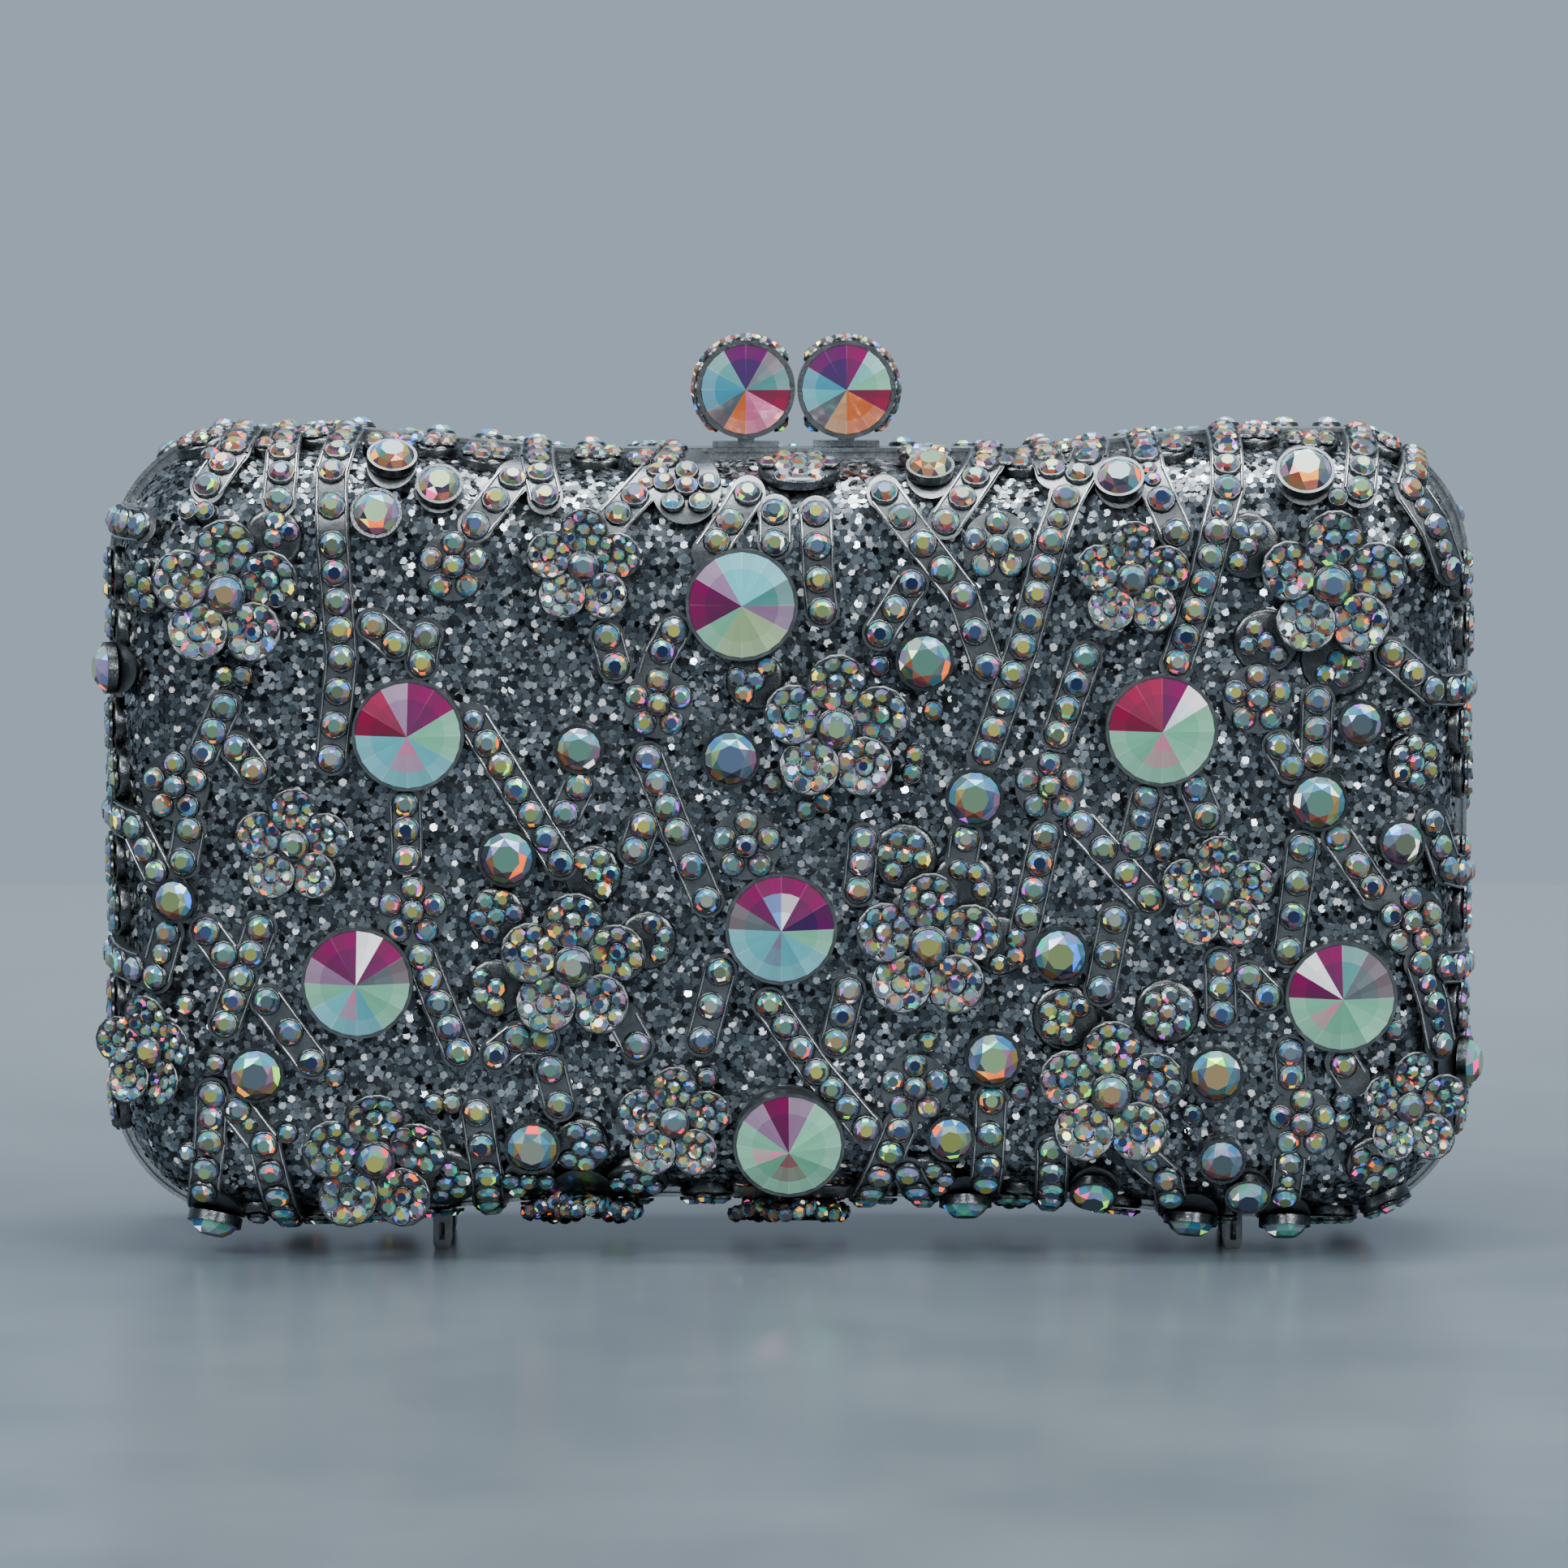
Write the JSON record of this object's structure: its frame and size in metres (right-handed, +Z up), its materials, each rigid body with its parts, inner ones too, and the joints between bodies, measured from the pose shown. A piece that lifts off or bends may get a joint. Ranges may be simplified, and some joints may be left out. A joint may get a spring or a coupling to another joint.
{
  "type": "minaudiere clutch bag",
  "caption": "Hard box clutch that opens like a book on a bottom hinge, with a kiss clasp and an openwork metal cage set with flowers and cut stones over glitter.",
  "frame": {"origin": "on the table under the middle of the closed case, on its parting plane", "axes": "+X along the width, -Y out of the front face, +Z up"},
  "size_m": [0.1866, 0.057, 0.1228],
  "materials": {
    "frame_metal": "polished silver-tone plating",
    "shell_metal": "pressed, satin",
    "glitter": "hexagon glitter flakes on a dark backing",
    "lining": "matt",
    "cast_metal": "cast, silver-tone plating with darkened hollows",
    "hinge_metal": "plain satin",
    "clear_stones": "clear cut glass with a silver back",
    "shadow_stones": "grey cut glass with a silver back",
    "dark_stones": "dark grey cut glass with a silver back",
    "large_stones": "cut glass with a colour-shifting coat, aqua to purple",
    "clasp_stones": "cut glass with a colour-shifting coat, coral to teal"
  },
  "bodies": {
    "front": {"front_frame": "frame_metal", "front_shell": "shell_metal", "front_glitter_cover": "glitter", "front_lining": "lining", "front_cage": "cast_metal", "front_rib_stones": "clear_stones", "front_star_stones": "clear_stones", "front_flowers": "cast_metal", "front_flower_centres": "dark_stones", "front_medium_cups": "cast_metal", "front_medium_stones": "shadow_stones", "front_large_cups": "frame_metal", "front_large_stones": "large_stones", "front_hinge_leaf": "hinge_metal", "hinge_pin": "hinge_metal", "front_feet": "cast_metal", "front_clasp_saddle": "frame_metal"},
    "back": {"back_frame": "frame_metal", "back_shell": "shell_metal", "back_glitter_cover": "glitter", "back_lining": "lining", "back_cage": "cast_metal", "back_rib_stones": "clear_stones", "back_star_stones": "clear_stones", "back_flowers": "cast_metal", "back_flower_centres": "dark_stones", "back_medium_cups": "cast_metal", "back_medium_stones": "shadow_stones", "back_large_cups": "frame_metal", "back_large_stones": "large_stones", "back_hinge_leaf": "hinge_metal", "back_feet": "cast_metal", "back_clasp_saddle": "frame_metal"},
    "front_clasp": {"front_clasp_arm": "frame_metal", "front_clasp_drum": "cast_metal", "front_clasp_stones": "clasp_stones"},
    "back_clasp": {"back_clasp_arm": "frame_metal", "back_clasp_drum": "cast_metal", "back_clasp_stones": "clasp_stones"}
  },
  "joints": [
    {"name": "case_hinge", "type": "hinge", "parent": "front", "child": "back", "pos_m": [0, 0, 0.0034], "axis": [-1, 0, 0], "range_deg": [0, 80]},
    {"name": "front_clasp_flex", "type": "hinge", "parent": "front", "child": "front_clasp", "pos_m": [-0.0058, -0.00175, 0.10979], "axis": [0, -1, 0], "range_deg": [0, 4], "stiffness_Nm_per_rad": 0.12},
    {"name": "back_clasp_flex", "type": "hinge", "parent": "back", "child": "back_clasp", "pos_m": [0.0078, 0.00175, 0.10979], "axis": [0, 1, 0], "range_deg": [0, 4], "stiffness_Nm_per_rad": 0.12}
  ]
}
